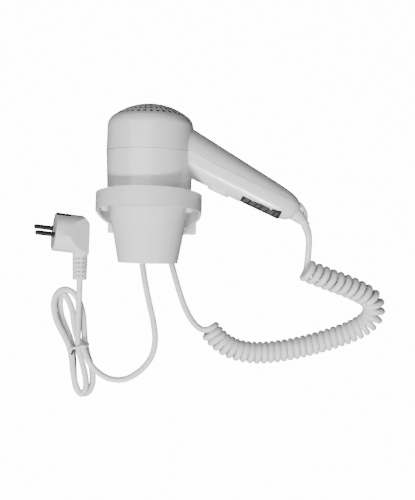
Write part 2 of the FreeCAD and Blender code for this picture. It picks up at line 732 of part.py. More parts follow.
tip_turn = FreeCAD.Rotation(FreeCAD.Vector(0, 1, 0), value("tip_lean"))
guard_turn = FreeCAD.Rotation(FreeCAD.Vector(0, 1, 0), value("guard_lean"))
tip_spot = ("handle_tip + 0.3 * cos(tip_lean)", "0", "-tip_drop - 0.3 * sin(tip_lean)")
guard_spot = ("guard_at", "0", "-guard_drop")
guard_loft = loft("guard_loft", [
    oval("guard_root", "tip_deep - 0.1", "tip_wide - 0.1", tip_spot, HANDLE,
         value("tip_lean")),
    oval("guard_tip", "guard_end + 0.01", "guard_end", guard_spot, HANDLE,
         value("guard_lean"))], True)
neck = loft("guard_neck", [
    oval("neck_root", "tip_deep - shell_wall - 0.4", "tip_wide - shell_wall - 0.4",
         ("handle_tip - 0.8 * cos(tip_lean)", "0", "-tip_drop + 0.8 * sin(tip_lean)"),
         HANDLE, value("tip_lean")),
    oval("neck_tip", "tip_deep - shell_wall - 0.39", "tip_wide - shell_wall - 0.4",
         ("handle_tip + cos(tip_lean)", "0", "-tip_drop - sin(tip_lean)"),
         HANDLE, value("tip_lean"))], True)
flange_turn = FreeCAD.Rotation(FreeCAD.Vector(0, 1, 0), 90 + value("guard_lean"))
flange = cylinder("guard_flange", "guard_end + 0.4", "1.2", guard_spot, HANDLE, flange_turn)
strain_relief = fuse("strain_relief", [guard_loft, neck, flange])

loop_ring = bind(doc.addObject("Part::Torus", "loop_ring"), Radius1="loop_ring",
                 Radius2="loop_wire")
loop_ring.Angle3 = 76
loop_turn = FreeCAD.Rotation(FreeCAD.Vector(1, 0, 0), 90)
loop_turn = FreeCAD.Rotation(FreeCAD.Vector(0, 1, 0), 5).multiply(loop_turn)
put(loop_ring, ("129.9", "-axis_reach", "-1.8"), ROOM, loop_turn)
hanging_loop = cut("hanging_loop", loop_ring, [copy("guard_copy", strain_relief),
                                               copy("skin_for_loop", outer_skin)])

# ---------------------------------------------------------------- wall holder

def ring_tube(name, outer, inner, tall, top="ring_top"):
    """A tube square to the tilted ring, hanging down from its top plane."""
    def part(label, radius, high, drop):
        at = ("0", "-(%s) * sin(ring_tilt)" % drop, "(%s) - (%s) * cos(ring_tilt)" % (top, drop))
        return cylinder(name + label, radius, high, at, AXIS, RING_TILT)
    solid = part("_solid", outer, tall, tall)
    if inner is None:
        return solid
    return cut(name, solid, [part("_bore", inner, "(%s) + 40" % tall, "(%s) + 20" % tall)])


SLOPE = 24.0        # of the arms' lower edge, in degrees
slope_turn = FreeCAD.Rotation(FreeCAD.Vector(1, 0, 0), -SLOPE)
under_arms = bind(doc.addObject("Part::Box", "under_arms"), Length="140", Width="150",
                  Height="120")
put(under_arms, ("-70", "-base_deep - 150 * cos(%g) - 120 * sin(%g)" % (SLOPE, SLOPE),
                 "base_bottom + 1.4 + 150 * sin(%g) - 120 * cos(%g)" % (SLOPE, SLOPE)),
    ROOM, slope_turn)
arms = cut("arms", ring_tube("arm_tube", "ring_radius", "ring_radius - ring_wall",
                             "ring_tall + 26"), [under_arms])
below_base = box("below_base", ("200", "300", "60"), ("0", "0", "base_bottom - 60"))
arms = cut("trimmed_arms", arms, [below_base])
band = ring_tube("band", "ring_radius", "ring_radius - ring_wall", "ring_tall")


def upright(edge):
    box_ = edge.BoundBox
    return box_.XLength < 0.01 and box_.YLength < 0.01 and box_.YMax < -5


def across_front(edge):
    box_ = edge.BoundBox
    return box_.YLength > 1 and box_.XLength < 0.01 and box_.ZLength < 0.01


base_block = box("base_block", ("base_width", "base_deep", "base_top - base_bottom"),
                 ("0", "-base_deep / 2", "base_bottom"))
base_shape = rounded("base_shape", base_block, "base_round", across_front)
LUGS = [("lug_left", "-"), ("lug_right", "")]


def lug_spot(sign, down):
    """A point in the ring, down from its top plane and beside straight ahead."""
    side = "%slug_reach * sin(lug_spread)" % sign
    ahead = "-lug_reach * cos(lug_spread)"
    return (side, "(%s) * cos(ring_tilt) - (%s) * sin(ring_tilt)" % (ahead, down),
            "ring_top - (%s) * sin(ring_tilt) - (%s) * cos(ring_tilt)" % (ahead, down))


lugs = [cylinder(name, "lug_radius", "lug_tall + 1.6", lug_spot(sign, "ring_tall + 2.2"), AXIS,
                 RING_TILT) for name, sign in LUGS]
cover = fuse("cover_solid", [base_shape, arms, band] + lugs)
cavity = box("base_cavity", ("base_width - 2 * base_wall", "base_deep - base_wall",
                             "base_top - base_bottom - 2 * base_wall"),
             ("0", "-(base_deep - base_wall) / 2", "base_bottom + base_wall"))
behind_wall = box("behind_wall", ("300", "60", "300"), ("0", "30", "-150"))
cover_cuts = [cavity, behind_wall]
for name, sign in LUGS:
    cover_cuts.append(cylinder(name + "_hole", "cradle_screw + 0.1", "30",
                               lug_spot(sign, "ring_tall + 10"), AXIS, RING_TILT))
    cover_cuts.append(cylinder(name + "_sink", "2.3", "10", lug_spot(sign, "ring_tall + 8.2"),
                               AXIS, RING_TILT))
EXITS = {"mains": "mains_exit", "lead": "lead_exit"}
for name, at in EXITS.items():
    cover_cuts.append(cylinder(name + "_exit", "grommet_radius - 1.4", "10",
                               (at, "-exit_depth", "base_bottom - 4")))
for i, x in enumerate(("-36", "36")):
    cover_cuts.append(cylinder("cover_hole_%d" % i, "1.35", "6", (x, "-11", "base_bottom - 1")))
    cover_cuts.append(cylinder("cover_sink_%d" % i, "2.3", "4", (x, "-11", "base_bottom - 2.6")))
holder_body = cut("holder_body", cover, cover_cuts)

# The cradle: a flange across the ring and a cone that the barrel sits in
barrel_slope = "((cone_top_radius - cone_bottom_radius) / (cone_top - cone_bottom))"


def seat_cone(name, extra, low, high):
    """The barrel's cone, moved out by extra, between two heights."""
    def radius(height):
        return "cone_top_radius + (%s) - (cone_top - (%s)) * %s" % (extra, height, barrel_slope)
    return cone(name, radius(low), radius(high), "(%s) - (%s)" % (high, low), ("0", "0", low),
                AXIS)


bosses = [cylinder("boss_" + name, "2.8", "ring_tall - lug_tall - 1",
                   lug_spot(sign, "ring_tall - lug_tall + 0.6"), AXIS, RING_TILT)
          for name, sign in LUGS]
cradle_solid = fuse("cradle_solid", [
    ring_tube("cradle_flange", "ring_radius - ring_wall - 0.3", None, "2", "ring_top - 0.6"),
    seat_cone("seat_outer", "seat_play + seat_wall", "seat_base", "cone_top - 1")] + bosses)
cradle_bores = [seat_cone("seat_bore", "seat_play", "seat_base - 1", "cone_top + 12"),
                box("base_room", ("base_width + 40", "60", "200"),
                    ("0", "30 - base_deep - 0.3", "-100"))]
cradle_bores += [cylinder("boss_hole_" + name, "cradle_screw + 0.05",
                          "ring_tall - lug_tall - 4.1",
                          lug_spot(sign, "ring_tall - lug_tall + 0.7"), AXIS, RING_TILT)
                 for name, sign in LUGS]
cradle_insert = cut("cradle_insert", cradle_solid, cradle_bores)
cradle_screws = group("cradle_screws", [
    fuse("cradle_screw_" + name, [
        cylinder("cradle_head_" + name, "2.1", "1.5", lug_spot(sign, "ring_tall - 0.3"), AXIS,
                 RING_TILT),
        cylinder("cradle_shank_" + name, "cradle_screw", "ring_tall - lug_tall - 1.5",
                 lug_spot(sign, "ring_tall - 1.5"), AXIS, RING_TILT)])
    for name, sign in LUGS])

# Wall plate, with its blocks for the cover screws and its posts for the cord clamps
plate_low, plate_high = "base_bottom + base_wall + plate_play", "base_top - base_wall - plate_play"
plate_parts = [box("plate_sheet", ("base_width - 2 * base_wall - 2 * plate_play",
                                   "plate_thick", "(%s) - (%s)" % (plate_high, plate_low)),
                   ("0", "-plate_thick / 2", plate_low))]
for i, x in enumerate(("-36", "36")):
    plate_parts.append(box("screw_block_%d" % i, ("8", "14", "9"), (x, "-8", plate_low)))
posts = []
for name, at in EXITS.items():
    for side in ("- 6", "+ 6"):
        posts.append(("%s %s" % (at, side), "-8"))
for i, (x, y) in enumerate(posts):
    plate_parts.append(cylinder("post_%d" % i, "2", "6.5", (x, "-8", "-9"), ROOM, ALONG_Y))
plate_cuts = []
for i, x in enumerate(("-mount_span / 2", "mount_span / 2")):
    plate_cuts.append(cylinder("wall_hole_%d" % i, "mount_hole", "12", (x, "-8", "0"), ROOM,
                               ALONG_Y))
for i, x in enumerate(("-36", "36")):
    plate_cuts.append(cylinder("block_hole_%d" % i, "1.25", "7", (x, "-11", "base_bottom")))
for i, (x, y) in enumerate(posts):
    plate_cuts.append(cylinder("post_bore_%d" % i, "0.95", "5", (x, "-9", "-9"), ROOM, ALONG_Y))
wall_plate = cut("wall_plate", fuse("plate_solid", plate_parts), plate_cuts)

cover_screws = group("cover_screws", [
    fuse("cover_screw_%d" % i, [
        cylinder("cover_head_%d" % i, "2.1", "1.2", (x, "-11", "base_bottom + 0.2")),
        cylinder("cover_shank_%d" % i, "1.2", "5", (x, "-11", "base_bottom + 1"))])
    for i, x in enumerate(("-36", "36"))])
terminal_block = cut("terminal_block", box("terminal_case", ("26", "9", "11"),
                                           ("0", "-plate_thick - 4.5", "-3")),
                     [cylinder("terminal_well_%d" % i, "2.1", "6", (str(8 * i - 8), "-13", "2.5"),
                               ROOM, ALONG_Y) for i in range(3)])
terminal_screws = group("terminal_screws", [
    cylinder("terminal_screw_%d" % i, "2.04", "4", (str(8 * i - 8), "-11", "2.5"), ROOM, ALONG_Y)
    for i in range(3)])
cord_clamps = group("cord_clamps", [
    cut(name + "_clamp", box(name + "_clamp_bar", ("16", "3", "5"), (at, "-9.5", "-11.5")),
        [cylinder("%s_clamp_hole_%d" % (name, i), "0.95", "8", ("%s %s" % (at, side), "-13", "-9"),
                  ROOM, ALONG_Y) for i, side in enumerate(("- 6", "+ 6"))])
    for name, at in EXITS.items()])
clamp_screws = group("clamp_screws", [
    fuse("clamp_screw_%d" % i, [
        cylinder("clamp_head_%d" % i, "1.7", "1.2", (x, "-12.2", "-9"), ROOM, ALONG_Y),
        cylinder("clamp_shank_%d" % i, "0.9", "6.5", (x, "-11.5", "-9"), ROOM, ALONG_Y)])
    for i, (x, y) in enumerate(posts)])


def grommet(name, at):
    """A round gland plug through the base's floor, with a foot under it."""
    return fuse(name, [
        cylinder(name + "_stem", "grommet_radius - 1.5", "base_wall + 2",
                 (at, "-exit_depth", "base_bottom")),
        cone(name + "_foot", "cord_radius + 0.7", "grommet_radius", "grommet_drop",
             (at, "-exit_depth", "base_bottom - grommet_drop"))])


mains_grommet = grommet("mains_grommet", "mains_exit")
lead_grommet = grommet("lead_grommet", "lead_exit")

# ---------------------------------------------------------------- plug

PLUG = (value("plug_tilt"), ("plug_x", "plug_y", "plug_z"))
PLUG_ROLL = FreeCAD.Rotation(FreeCAD.Vector(1, 0, 0), value("plug_roll"))


def rim_box(name, start, long, wide, reach, tall, side):
    """A block on the round part's rim, square to the line of the pins."""
    base = reach if side > 0 else "-(%s) - (%s)" % (reach, tall)
    at = (start, "-(%s) / 2 * cos(plug_roll) - (%s) * sin(plug_roll)" % (wide, base),
          "-(%s) / 2 * sin(plug_roll) + (%s) * cos(plug_roll)" % (wide, base))
    return box(name, (long, wide, tall), at, PLUG, PLUG_ROLL)


def facet(name, side):
    """A block that cuts a flat on the back half of the round part, towards its end."""
    lean = side * value("atan2(plug_radius - plug_end; stem_x + 8.1 - plug_x - plug_deep)")
    block = bind(doc.addObject("Part::Box", name), Length="60", Width="30", Height="80")
    depth = 30 if side > 0 else 0
    at = ("plug_x + plug_deep + %d * sin(%r) - 10 * cos(%r)" % (depth, lean, lean),
          "plug_y - %d * plug_radius - %d * cos(%r) - 10 * sin(%r)" % (side, depth, lean, lean),
          "plug_z - 40")
    put(block, at, ROOM, FreeCAD.Rotation(FreeCAD.Vector(0, 0, 1), lean))
    return block


round_part = cylinder("plug_round", "plug_radius", "40", ("0", "0", "0"), PLUG, ALONG_X)
plug_outline = plate("plug_outline", [
    ("plug_x - 10", "30"), ("stem_x - 26", "30"), ("stem_x + 6.8", "-8"),
    ("stem_x + 8.1", "-10.5"), ("stem_x + 7.4", "-60"), ("plug_x - 10", "-60")], "80", "plug_y")
plug_head = cut("plug_head", common("plug_trimmed", round_part, plug_outline),
                [facet("facet_front", 1), facet("facet_back", -1)])
stem = cone("plug_stem", "stem_end", "stem_radius", "stem_top - stem_bottom",
            ("stem_x", "plug_y", "stem_bottom"))
stem_neck = cylinder("stem_neck", "stem_radius", "18", ("stem_x", "plug_y", "stem_top - 0.1"))
slots = [box("stem_slot_%d_%d_%d" % (i, side, face), ("5.2", "5.6", "1.6"),
             ("stem_x + %g" % (3.4 * side), "plug_y + %g" % (6.6 * face),
              "stem_bottom + 3.2 + %g" % (4.3 * i)))
         for i in range(5) for side in (-1, 1) for face in (-1, 1)]
notches = [rim_box("clip_notch_%d" % side, "-1", "15", "7.6", "plug_radius - 1.6", "4", side)
           for side in (-1, 1)]
plug_body = cut("plug_body", fuse("plug_solid", [plug_head, stem, stem_neck]), slots + notches)
pins = []
for i, side in enumerate((-1, 1)):
    off = ("%d * pin_span / 2 * cos(plug_roll)" % side, "%d * pin_span / 2 * sin(plug_roll)" % side)
    shaft = cylinder("pin_shaft_%d" % i, "pin_radius", "pin_length - pin_radius",
                     ("pin_radius - pin_length", *off), PLUG, ALONG_X)
    tip = bind(doc.addObject("Part::Sphere", "pin_tip_%d" % i), Radius="pin_radius")
    put(tip, ("pin_radius - pin_length", *off), PLUG)
    pins.append(fuse("pin_%d" % i, [shaft, tip]))
plug_pins = group("plug_pins", pins)
earth_clips = group("earth_clips", [
    rim_box("earth_clip_%d" % side, "0.4", "12.6", "7", "plug_radius - 1.5", "1.1", side)
    for side in (-1, 1)])
for node in (plug_body, plug_pins, earth_clips):
    node.Placement = FreeCAD.Placement(
        FreeCAD.Vector(), FreeCAD.Rotation(FreeCAD.Vector(0, 0, 1), value("plug_yaw")),
        FreeCAD.Vector(value("stem_x"), value("plug_y"), 0))

# ---------------------------------------------------------------- leads

exit_y, exit_z = -value("exit_depth"), value("base_bottom - grommet_drop")
MAINS_ROUTE = [
    (value("mains_exit"), exit_y, exit_z), (value("mains_exit"), exit_y, exit_z - 9),
    (-9.6, -12, -47), (-6.0, -12, -68), (-1.6, -11, -88),
    (3.2, -10, -107), (5.6, -9, -126), (2.2, -8, -143), (-8.5, -8, -156.5), (-24, -8, -166.5),
    (-40, -9, -166), (-51, -10, -159.6), (-55.6, -11, -154.4)]
TAIL_ROUTE = [
    (value("stem_x"), value("plug_y"), value("stem_bottom")),
    (value("stem_x"), value("plug_y"), value("stem_bottom") - 5), (-70.8, -18, -79.5),
    (-71.2, -15.6, -89)]
LEAD_ROUTE = [
    (value("lead_exit"), exit_y, exit_z), (value("lead_exit"), exit_y, exit_z - 8),
    (18.2, -12.5, -42), (23.2, -13.5, -59),
    (28.4, -14.5, -76), (35.4, -15.4, -94), (45.6, -16, -108.5), (57.4, -16, -112.6)]
COIL_ROUTE = [
    (58.6, -16, -111.4), (67.9, -16.6, -122.8), (83, -17, -131.4), (103, -17.5, -134.8),
    (124, -18, -133), (146, -19, -128.6), (168, -20.5, -122.2), (188, -23, -114.8),
    (205.5, -26.5, -106.8), (219.4, -31.5, -94.5), (217.5, -37, -77.5), (203, -42.5, -69.5),
    (187, -47.5, -63), (170, -53, -57.4), (152.8, -58.5, -51.2)]
doc.recompute()
guard_end = flange.Placement.multVec(FreeCAD.Vector(0, 0, 1.2))
guard_ahead = flange.Placement.multVec(FreeCAD.Vector(0, 0, 7))
HANDLE_ROUTE = [tuple(guard_end), tuple(guard_ahead), (150.6, -63.2, -22),
                (151.2, -62, -31), (150.9, -61, -38.5)]

mains_cord_run = cord("mains_cord_run", MAINS_ROUTE)
mains_cord_tail = cord("mains_cord_tail", TAIL_ROUTE)
lead_tail_base = cord("lead_tail_base", LEAD_ROUTE)
lead_coil = cord("lead_coil", COIL_ROUTE, "coil_outer")
lead_tail_handle = cord("lead_tail_handle", HANDLE_ROUTE)

hank_points = [(-99.6, -92), (-98, -82), (-90, -73.5), (-82, -73), (-76, -80), (-74.6, -88),
               (-67, -88), (-65.4, -100), (-63.6, -130), (-60, -140), (-54.4, -156),
               (-53.4, -171), (-58, -181), (-67, -184), (-76, -180.5), (-79.4, -160),
               (-80, -140), (-82.2, -131), (-91, -117), (-98, -103)]
hank_block = plate("hank_block", [("%g" % x, "%g" % z) for x, z in hank_points],
                   "hank_front - hank_back", "-(hank_front + hank_back) / 2")
mains_hank = rounded("mains_hank", hank_block, "3",
                     lambda edge: edge.BoundBox.YLength > 5)
cord_tie = cut("cord_tie", box("tie_block", ("24", "18.4", "5"), ("-71.9", "-11.1", "-136")),
               [box("tie_bore", ("21.4", "15.8", "9"), ("-71.9", "-11", "-138"))])

# ---------------------------------------------------------------- check and export

def export(nodes):
    doc.recompute()
    for item in doc.Objects:
        state = [word for word in item.State if word in ("Invalid", "Error")]
        if state:
            raise RuntimeError("%s is %s" % (item.Name, state))
    for item in nodes:
        item.Label = item.Name
        if item.Shape.isNull() or not item.Shape.isValid():
            raise RuntimeError("%s has no valid shape" % item.Name)
        item.Shape.exportStep("parts/%s.step" % item.Name)
        print("%-22s %6.0f mm3, %d solids" % (item.Name, item.Shape.Volume,
                                              len(item.Shape.Solids)))


export([front_shell, rear_shell, inlet_screen, fan_housing, motor_can, motor_end_cap,
        motor_bushes, rotor_shaft, armature, fan, heater_frame, heater_coils, heater_sleeve,
        outlet_grille, thermostat, thermal_fuse, rectifier, switch_bezel, speed_rocker,
        heat_rocker, rocker_pins, power_button, microswitch, microswitch_plunger,
        shell_screws, handle_cord_clamp, handle_clamp_screws, strain_relief, hanging_loop,
        wall_plate, holder_body, cradle_insert, cradle_screws, cover_screws, terminal_block,
        terminal_screws, cord_clamps, clamp_screws, mains_grommet, lead_grommet, plug_body,
        plug_pins, earth_clips, mains_cord_run, mains_hank, mains_cord_tail, cord_tie,
        lead_tail_base, lead_coil, lead_tail_handle])
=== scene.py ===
"""Looks for the wall-mounted hair dryer: camera, light, materials, cords and finished surfaces.

Metres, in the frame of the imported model: X right along the wall, Y into it, Z up.
"""

import json
import math

import bmesh
import bpy
from mathutils import Matrix, Vector


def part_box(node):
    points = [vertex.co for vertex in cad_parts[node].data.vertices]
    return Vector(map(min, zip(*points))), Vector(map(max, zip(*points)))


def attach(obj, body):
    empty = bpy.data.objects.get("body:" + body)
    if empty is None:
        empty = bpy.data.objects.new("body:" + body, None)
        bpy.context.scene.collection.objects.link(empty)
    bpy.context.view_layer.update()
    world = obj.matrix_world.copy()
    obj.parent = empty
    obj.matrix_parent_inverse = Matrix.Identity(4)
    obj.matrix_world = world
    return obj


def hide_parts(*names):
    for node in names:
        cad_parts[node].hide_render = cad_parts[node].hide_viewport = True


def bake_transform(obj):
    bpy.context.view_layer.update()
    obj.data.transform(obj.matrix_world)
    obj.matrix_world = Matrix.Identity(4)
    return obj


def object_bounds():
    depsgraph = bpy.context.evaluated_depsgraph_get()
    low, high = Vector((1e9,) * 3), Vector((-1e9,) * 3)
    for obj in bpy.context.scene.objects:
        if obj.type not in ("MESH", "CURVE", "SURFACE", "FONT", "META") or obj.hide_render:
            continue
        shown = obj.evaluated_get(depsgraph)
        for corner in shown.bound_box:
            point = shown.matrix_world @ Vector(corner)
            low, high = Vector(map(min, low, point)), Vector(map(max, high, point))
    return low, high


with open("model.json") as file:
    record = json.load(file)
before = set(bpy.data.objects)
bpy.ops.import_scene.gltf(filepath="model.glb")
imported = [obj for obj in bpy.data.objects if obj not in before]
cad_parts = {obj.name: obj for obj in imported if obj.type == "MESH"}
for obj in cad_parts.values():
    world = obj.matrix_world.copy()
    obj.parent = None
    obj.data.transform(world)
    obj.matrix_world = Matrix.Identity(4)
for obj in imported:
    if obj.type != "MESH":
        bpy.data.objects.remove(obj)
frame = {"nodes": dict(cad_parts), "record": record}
NODES = frame["nodes"]
BODY_OF = {node: body for body, nodes in frame["record"]["behaviour"]["bodies"].items()
           for node in nodes}
SLOT_OF = {part["node"]: part["material_slot"] for part in frame["record"]["subparts"]}
cad_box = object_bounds()
scene = bpy.context.scene
MM = 0.001


def mm(*numbers):
    return Vector(numbers) * MM


def new_piece(name, vertices, faces):
    """A mesh object from corners in metres and faces, with its faces turned outward."""
    mesh = bpy.data.meshes.new(name)
    mesh.from_pydata(vertices, [], faces)
    work = bmesh.new()
    work.from_mesh(mesh)
    bmesh.ops.recalc_face_normals(work, faces=work.faces)
    work.to_mesh(mesh)
    work.free()
    piece = bpy.data.objects.new(name, mesh)
    scene.collection.objects.link(piece)
    return piece


def round_edges(piece, width, segments=2):
    """Round a piece's edges; the width is in millimetres."""
    rounding = piece.modifiers.new("rounding", "BEVEL")
    rounding.width = width * MM
    rounding.segments = segments
    return rounding


# ---------------------------------------------------------------- camera, light, backdrop

def make_camera():
    """A level view from the front, a little right of the barrel, as the photograph's."""
    data = bpy.data.cameras.new("camera")
    data.lens = 57.6
    data.sensor_width = 36
    data.clip_start = 0.05
    camera = bpy.data.objects.new("camera", data)
    scene.collection.objects.link(camera)
    tilt = Matrix.Rotation(math.radians(90 - 1.29), 4, "X")
    roll = Matrix.Rotation(math.radians(1.32), 4, "Z")
    camera.matrix_world = Matrix.Translation(mm(55.5, -810.6, -15.4)) @ tilt @ roll
    scene.camera = camera


def area_light(name, place, target, size, power, colour=(1, 1, 1)):
    data = bpy.data.lights.new(name, "AREA")
    data.shape = "RECTANGLE"
    data.size, data.size_y = size
    data.energy = power
    data.color = colour
    light = bpy.data.objects.new(name, data)
    light.location = place
    aim = Vector(target) - Vector(place)
    light.rotation_euler = aim.to_track_quat("-Z", "Y").to_euler()
    scene.collection.objects.link(light)


def make_light():
    """Broad light from the front and from below, in a dark room, so that edges turn dark."""
    world = bpy.data.worlds.new("studio")
    scene.world = world
    world.use_nodes = True
    back = world.node_tree.nodes["Background"]
    back.inputs["Color"].default_value = (0.9, 0.93, 1.0, 1)
    back.inputs["Strength"].default_value = 0.02
    middle = (0.05, -0.06, -0.03)
    area_light("broad", (-0.35, -1.15, 0.12), middle, (1.3, 0.5), 12)
    area_light("low", (-0.2, -1.1, -1.0), middle, (0.35, 0.2), 31)
    area_light("strip", (0.62, -0.9, -0.62), middle, (0.06, 0.3), 3)


def make_backdrop():
    """A white sheet: a wall behind the object, which curves into a floor far below it."""
    floor = cad_box[0].z - 0.9
    outline = [(-3.0, floor), (0.9, floor), (1.2, floor + 0.06), (1.35, floor + 0.3),
               (1.35, 3.0)]
    mesh = bpy.data.meshes.new("backdrop")
    vertices = [(x, y, z) for y, z in outline for x in (-4.0, 4.0)]
    faces = [(2 * i, 2 * i + 1, 2 * i + 3, 2 * i + 2) for i in range(len(outline) - 1)]
    mesh.from_pydata(vertices, [], faces)
    sheet = bpy.data.objects.new("backdrop", mesh)
    scene.collection.objects.link(sheet)
    material = bpy.data.materials.new("backdrop_white")
    material.use_nodes = True
    shader = material.node_tree.nodes["Principled BSDF"]
    shader.inputs["Base Color"].default_value = (0.9, 0.9, 0.9, 1)
    shader.inputs["Roughness"].default_value = 1
    shader.inputs["Emission Color"].default_value = (1, 1, 1, 1)
    shader.inputs["Emission Strength"].default_value = 14
    mesh.materials.append(material)
    sheet.visible_diffuse = False
    sheet.visible_glossy = False
    sheet.visible_transmission = False
    sheet.visible_shadow = False


# ---------------------------------------------------------------- materials

def surface(name, colour, roughness, metallic=0.0, coat=0.0, grain=900.0, bump=0.02,
            mottle=0.03, specular=0.5, sheen=0.0, clear=0.0):
    """A moulded or drawn surface: its colour and gloss vary a little, and it has a fine grain."""
    material = bpy.data.materials.new(name)
    material.use_nodes = True
    nodes, links = material.node_tree.nodes, material.node_tree.links
    shader = nodes["Principled BSDF"]
    place = nodes.new("ShaderNodeTexCoord")

    def noise(scale, detail):
        node = nodes.new("ShaderNodeTexNoise")
        node.inputs["Scale"].default_value = scale
        node.inputs["Detail"].default_value = detail
        links.new(place.outputs["Object"], node.inputs["Vector"])
        return node.outputs["Fac"]

    def ramp(source, low, high):
        node = nodes.new("ShaderNodeMapRange")
        node.inputs["To Min"].default_value = low
        node.inputs["To Max"].default_value = high
        node.inputs["From Min"].default_value = 0.3
        node.inputs["From Max"].default_value = 0.7
        links.new(source, node.inputs["Value"])
        return node.outputs["Result"]

    tint = nodes.new("ShaderNodeMix")
    tint.data_type = "RGBA"
    dark = [channel * (1 - mottle) for channel in colour]
    light = [min(1, channel * (1 + mottle)) for channel in colour]
    tint.inputs["A"].default_value = (*dark, 1)
    tint.inputs["B"].default_value = (*light, 1)
    links.new(noise(35, 3), tint.inputs["Factor"])
    links.new(tint.outputs["Result"], shader.inputs["Base Color"])
    links.new(ramp(noise(60, 4), roughness * 0.85, min(1, roughness * 1.2)),
              shader.inputs["Roughness"])
    relief = nodes.new("ShaderNodeBump")
    relief.inputs["Strength"].default_value = bump
    relief.inputs["Distance"].default_value = 0.0004
    links.new(noise(grain, 2), relief.inputs["Height"])
    links.new(relief.outputs["Normal"], shader.inputs["Normal"])
    shader.inputs["Metallic"].default_value = metallic
    shader.inputs["Coat Weight"].default_value = coat
    shader.inputs["Coat Roughness"].default_value = 0.12
    shader.inputs["Specular IOR Level"].default_value = specular
    shader.inputs["Sheen Weight"].default_value = sheen
    shader.inputs["Transmission Weight"].default_value = clear
    return material


MATERIALS = {
    "shell_white": surface("shell_white", (0.78, 0.78, 0.78), 0.26, coat=0.3),
    "button_white": surface("button_white", (0.77, 0.77, 0.77), 0.22, coat=0.4),
    "guard_white": surface("guard_white", (0.77, 0.77, 0.77), 0.38),
    "loop_clear": surface("loop_clear", (0.74, 0.75, 0.75), 0.16, clear=0.35),
    "bezel_black": surface("bezel_black", (0.012, 0.012, 0.013), 0.5, bump=0.08,
                           specular=0.25),
    "rocker_grey": surface("rocker_grey", (0.055, 0.055, 0.057), 0.4, bump=0.05,
                           specular=0.3),
    "switch_case": surface("switch_case", (0.03, 0.03, 0.03), 0.5),
    # the inlet screen's own dark colour, which also serves as painted shade in the intake's holes
    "screen_mesh": surface("screen_mesh", (0.012, 0.012, 0.012), 0.6, grain=2500, bump=0.3),
    "duct_grey": surface("duct_grey", (0.24, 0.24, 0.24), 0.5),
    "fan_grey": surface("fan_grey", (0.07, 0.07, 0.07), 0.4),
    "motor_steel": surface("motor_steel", (0.55, 0.55, 0.56), 0.3, metallic=1),
    "bush_bronze": surface("bush_bronze", (0.5, 0.3, 0.14), 0.4, metallic=1),
    "winding_copper": surface("winding_copper", (0.6, 0.24, 0.1), 0.35, metallic=1),
    "mica": surface("mica", (0.5, 0.42, 0.28), 0.55, mottle=0.25, grain=400, bump=0.2),
    "heater_wire": surface("heater_wire", (0.35, 0.33, 0.32), 0.4, metallic=1),
    "outlet_black": surface("outlet_black", (0.025, 0.025, 0.025), 0.5),
    "thermal_parts": surface("thermal_parts", (0.12, 0.09, 0.08), 0.45),
    "board_green": surface("board_green", (0.03, 0.16, 0.06), 0.4),
    "steel_screws": surface("steel_screws", (0.55, 0.55, 0.57), 0.3, metallic=1),
    "clamp_grey": surface("clamp_grey", (0.4, 0.4, 0.4), 0.5),
    "holder_white": surface("holder_white", (0.76, 0.76, 0.76), 0.28, coat=0.25),
    "cradle_grey": surface("cradle_grey", (0.5, 0.5, 0.5), 0.4),
    "plate_white": surface("plate_white", (0.6, 0.6, 0.58), 0.5),
    "terminal_white": surface("terminal_white", (0.62, 0.6, 0.55), 0.5),
    "grommet_white": surface("grommet_white", (0.6, 0.6, 0.6), 0.45),
    "mains_white": surface("mains_white", (0.77, 0.77, 0.77), 0.36, grain=1500, bump=0.05),
    "tie_white": surface("tie_white", (0.75, 0.75, 0.74), 0.45),
    "plug_white": surface("plug_white", (0.77, 0.77, 0.77), 0.36, bump=0.05),
    "pin_metal": surface("pin_metal", (0.012, 0.012, 0.013), 0.4, metallic=0.2, mottle=0.08,
                         specular=0.3),
    "lead_white": surface("lead_white", (0.77, 0.77, 0.77), 0.32, grain=1500, bump=0.04),
}


def finish_piece(piece, slot, body=None):
    """Give a new piece the material of its record slot, and its body."""
    piece.data.materials.clear()
    piece.data.materials.append(MATERIALS[slot])
    if body:
        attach(piece, body)
    return piece


# ---------------------------------------------------------------- CAD nodes and their skins

def dress_nodes():
    for name, node in NODES.items():
        node.data.materials.clear()
        node.data.materials.append(MATERIALS[SLOT_OF[name]])


def skin(node, bevel=0.35, angle=32, flat=0.6):
    """A finished copy of a CAD node: smooth faces, and its edges sharper than angle rounded.
    Faces that turn less than flat degrees are joined first."""
    mesh = NODES[node].data.copy()
    piece = bpy.data.objects.new(node + "_skin", mesh)
    scene.collection.objects.link(piece)
    work = bmesh.new()
    work.from_mesh(mesh)
    bmesh.ops.remove_doubles(work, verts=work.verts, dist=1e-6)
    bmesh.ops.dissolve_limit(work, angle_limit=math.radians(flat), verts=work.verts,
                             edges=work.edges)
    work.to_mesh(mesh)
    work.free()
    mesh.shade_smooth()
    rounding = round_edges(piece, bevel, segments=3)
    rounding.limit_method = "ANGLE"
    rounding.angle_limit = math.radians(angle)
    rounding.harden_normals = True
    normals = piece.modifiers.new("normals", "WEIGHTED_NORMAL")
    normals.keep_sharp = True
    finish_piece(piece, SLOT_OF[node], BODY_OF[node])
    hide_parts(node)
    return piece


# ---------------------------------------------------------------- cords

def link_curve(name, points, radius=0.0):
    """One open NURBS spline through a route's control points, in millimetres."""
    data = bpy.data.curves.new(name, "CURVE")
    data.dimensions = "3D"
    data.resolution_u = 24
    spline = data.splines.new("NURBS")
    spline.points.add(len(points) - 1)
    for point, spot in zip(spline.points, points):
        point.co = (*mm(*spot), 1)
    spline.order_u = 3
    spline.use_endpoint_u = True
    data.bevel_depth = radius * MM
    data.bevel_resolution = 6
    data.use_fill_caps = True
    curve = bpy.data.objects.new(name, data)
    scene.collection.objects.link(curve)
    return curve


